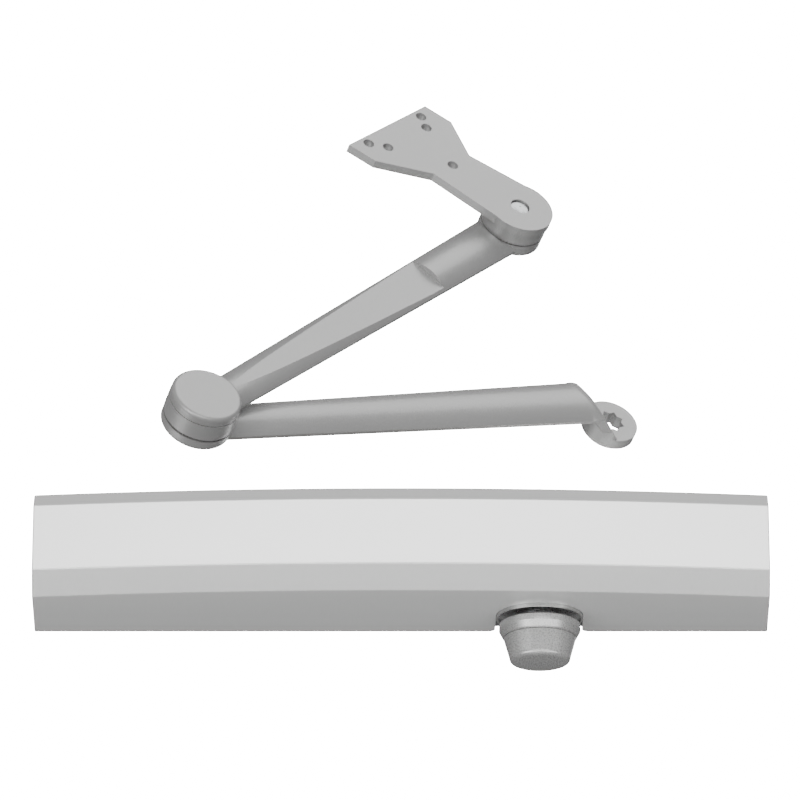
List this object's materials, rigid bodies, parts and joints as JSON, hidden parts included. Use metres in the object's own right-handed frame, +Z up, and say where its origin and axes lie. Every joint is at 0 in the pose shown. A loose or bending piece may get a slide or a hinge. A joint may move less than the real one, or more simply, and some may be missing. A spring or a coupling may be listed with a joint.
{
  "type": "door closer",
  "caption": "Slim surface door closer with a bowed cover, a capped spindle and a folding two-piece arm with a flared shoe, laid out as a kit.",
  "frame": {"origin": "centre of the closer's back face, on the door plane", "axes": "+X along the closer, +Y into the door, +Z up; the cover's front faces -Y"},
  "size_m": [0.311, 0.1769, 0.2408],
  "materials": {
    "silver_paint": "satin metallic silver",
    "silver_paint_cap": "satin metallic silver",
    "silver_paint_arm": "satin metallic silver",
    "cast_body": "fine cast, painted grey",
    "zinc": "zinc plated",
    "machined_steel": "machined",
    "rivet_steel": "smooth domed rivet",
    "spring_steel": "oiled spring steel",
    "collar_aluminium": "turned",
    "bronze": "sintered bronze",
    "seal_rubber": "matt",
    "black_washer": "matt",
    "seal_polymer": "matt"
  },
  "bodies": {
    "closer": {"cover": "silver_paint", "housing": "cast_body", "valve_seals": "seal_rubber", "spring_end_plug": "machined_steel", "valve_end_plug": "machined_steel", "end_plug_seals": "seal_rubber", "cover_brackets": "zinc", "bracket_screws": "zinc", "upper_bearing": "bronze", "lower_bearing": "bronze", "spindle_seals": "seal_rubber", "upper_collar": "collar_aluminium", "lower_collar": "collar_aluminium", "closing_spring": "spring_steel"},
    "spindle": {"spindle": "machined_steel", "arm_screw_washer": "zinc", "arm_screw": "zinc", "cap_band": "silver_paint_cap", "spindle_cap": "silver_paint_cap"},
    "piston": {"piston": "machined_steel", "piston_rings": "seal_polymer", "check_ball": "machined_steel"},
    "spring_seat": {"spring_seat": "machined_steel"},
    "power_adjuster": {"power_adjuster": "zinc"},
    "latch_valve": {"latch_valve": "zinc"},
    "sweep_valve": {"sweep_valve": "zinc"},
    "backcheck_valve": {"backcheck_valve": "zinc"},
    "main_arm": {"main_arm": "silver_paint_arm", "elbow_pin": "zinc", "elbow_washer": "black_washer"},
    "forearm": {"forearm": "silver_paint_arm", "elbow_bush": "bronze", "elbow_cap": "silver_paint_arm", "shoe_bush": "bronze"},
    "shoe": {"shoe": "silver_paint_arm", "shoe_washer": "black_washer", "shoe_pin": "rivet_steel", "shoe_lower_washer": "zinc", "shoe_nut": "silver_paint_arm"}
  },
  "joints": [
    {"name": "main_arm_swing", "type": "hinge", "parent": "closer", "child": "main_arm", "pos_m": [0.08796, -0.06, 0.05068], "axis": [0.3116, -0.8479, 0.4289], "range_deg": [-175, 0], "stiffness_Nm_per_rad": 0.9, "springref_deg": 91.67},
    {"name": "spindle_turn", "type": "hinge", "parent": "closer", "child": "spindle", "pos_m": [0.0583, -0.021, 0], "axis": [0, 0, 1], "range_deg": [-175, 0]},
    {"name": "piston_slide", "type": "slide", "parent": "closer", "child": "piston", "axis": [1, 0, 0], "range_m": [-0.0235, 0], "deforming": ["closing_spring"]},
    {"name": "power_adjust", "type": "hinge", "parent": "closer", "child": "power_adjuster", "pos_m": [-0.121, -0.026, 0], "axis": [1, 0, 0], "range_deg": [0, 1440]},
    {"name": "spring_seat_slide", "type": "slide", "parent": "closer", "child": "spring_seat", "axis": [1, 0, 0], "range_m": [0, 0.006]},
    {"name": "elbow_swing", "type": "hinge", "parent": "main_arm", "child": "forearm", "pos_m": [-0.08185, -0.15664, 0.0147], "axis": [0.3116, -0.8479, 0.4289], "range_deg": [-27, 150]},
    {"name": "shoe_swing", "type": "hinge", "parent": "forearm", "child": "shoe", "pos_m": [0.04434, -0.04828, 0.13725], "axis": [0.3116, -0.8479, 0.4289], "range_deg": [-60, 100]},
    {"name": "latch_turn", "type": "hinge", "parent": "closer", "child": "latch_valve", "pos_m": [0.084, -0.0046, -0.02], "axis": [0, 0, -1], "range_deg": [-360, 360]},
    {"name": "sweep_turn", "type": "hinge", "parent": "closer", "child": "sweep_valve", "pos_m": [0.095, -0.0046, -0.02], "axis": [0, 0, -1], "range_deg": [-360, 360]},
    {"name": "backcheck_turn", "type": "hinge", "parent": "closer", "child": "backcheck_valve", "pos_m": [0.106, -0.0046, -0.02], "axis": [0, 0, -1], "range_deg": [-360, 360]}
  ],
  "couplings": [
    {"joint": "spindle_turn", "follows": "main_arm_swing", "ratio": 1},
    {"joint": "piston_slide", "follows": "main_arm_swing", "m_per_rad": 0.0075},
    {"joint": "power_adjust", "follows": "spring_seat_slide", "rad_per_m": 4188.8}
  ]
}
